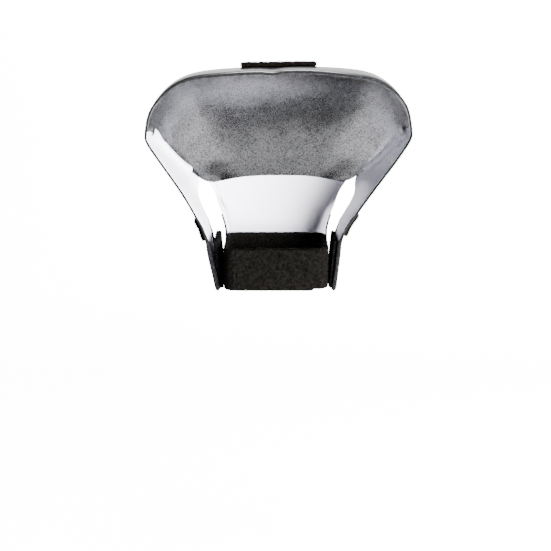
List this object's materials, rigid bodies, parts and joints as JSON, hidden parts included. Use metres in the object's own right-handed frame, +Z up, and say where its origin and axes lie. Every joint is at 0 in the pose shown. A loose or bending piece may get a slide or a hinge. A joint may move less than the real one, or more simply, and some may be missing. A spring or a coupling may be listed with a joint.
{
  "type": "flash bounce reflector",
  "caption": "Bendable vinyl bounce hood with side arms and a loose silver lining, held round an upright flash head by a cinched hook-and-loop strap.",
  "frame": {"origin": "centre of the flash head's front glass, level with the strap's top edge", "axes": "+Z up out of the flash head, +X to the right seen from the hood's open side, +Y towards the hood's back"},
  "size_m": [0.1908, 0.1109, 0.1726],
  "materials": {
    "loop_webbing": "black brushed loop, fuzzy",
    "hook_tape": "black hook tape",
    "loop_pad": "black loop pad, fuzzy",
    "white_vinyl": "semi gloss",
    "black_vinyl": "gloss with slight wrinkles",
    "stiffener": "satin",
    "silver_vinyl": "metallic pebble grain"
  },
  "bodies": {
    "strap": {"strap_band": "loop_webbing"},
    "strap_end": {"strap_tail": "loop_webbing", "strap_hook_patch": "hook_tape"},
    "reflector": {"inner_skin": "white_vinyl", "stiffener": "stiffener", "outer_skin": "black_vinyl", "left_retaining_strip": "white_vinyl", "right_retaining_strip": "white_vinyl", "left_outer_pad": "loop_pad", "right_outer_pad": "loop_pad", "top_pad": "loop_pad"},
    "insert": {"silver_insert": "silver_vinyl"},
    "left_flap": {"left_tab": "black_vinyl", "left_hook_pad": "hook_tape"},
    "right_flap": {"right_tab": "black_vinyl", "right_hook_pad": "hook_tape"},
    "back_flap": {"back_tab": "black_vinyl", "back_hook_pad": "hook_tape"}
  },
  "joints": [
    {"name": "strap_tail_peel", "type": "hinge", "parent": "strap", "child": "strap_end", "pos_m": [-0.02985, -0.0331, -0.016], "axis": [0, 0, -1], "range_deg": [0, 150]},
    {"name": "reflector_lift", "type": "slide", "parent": "strap", "child": "reflector", "axis": [0, 0, 1], "range_m": [0, 0.06]},
    {"name": "insert_slide", "type": "hinge", "parent": "reflector", "child": "insert", "pos_m": [0, -0.058, 0.044], "axis": [1, 0, 0], "range_deg": [0, 70]},
    {"name": "left_flap_bend", "type": "hinge", "parent": "reflector", "child": "left_flap", "pos_m": [-0.048, 0, 0.00015], "axis": [0, 1, 0], "range_deg": [0, 75], "stiffness_Nm_per_rad": 0.02},
    {"name": "right_flap_bend", "type": "hinge", "parent": "reflector", "child": "right_flap", "pos_m": [0.048, 0, 0.00015], "axis": [0, -1, 0], "range_deg": [0, 75], "stiffness_Nm_per_rad": 0.02},
    {"name": "back_flap_bend", "type": "hinge", "parent": "reflector", "child": "back_flap", "pos_m": [0, 0.0328, 0.00015], "axis": [1, 0, 0], "range_deg": [0, 75], "stiffness_Nm_per_rad": 0.02}
  ]
}
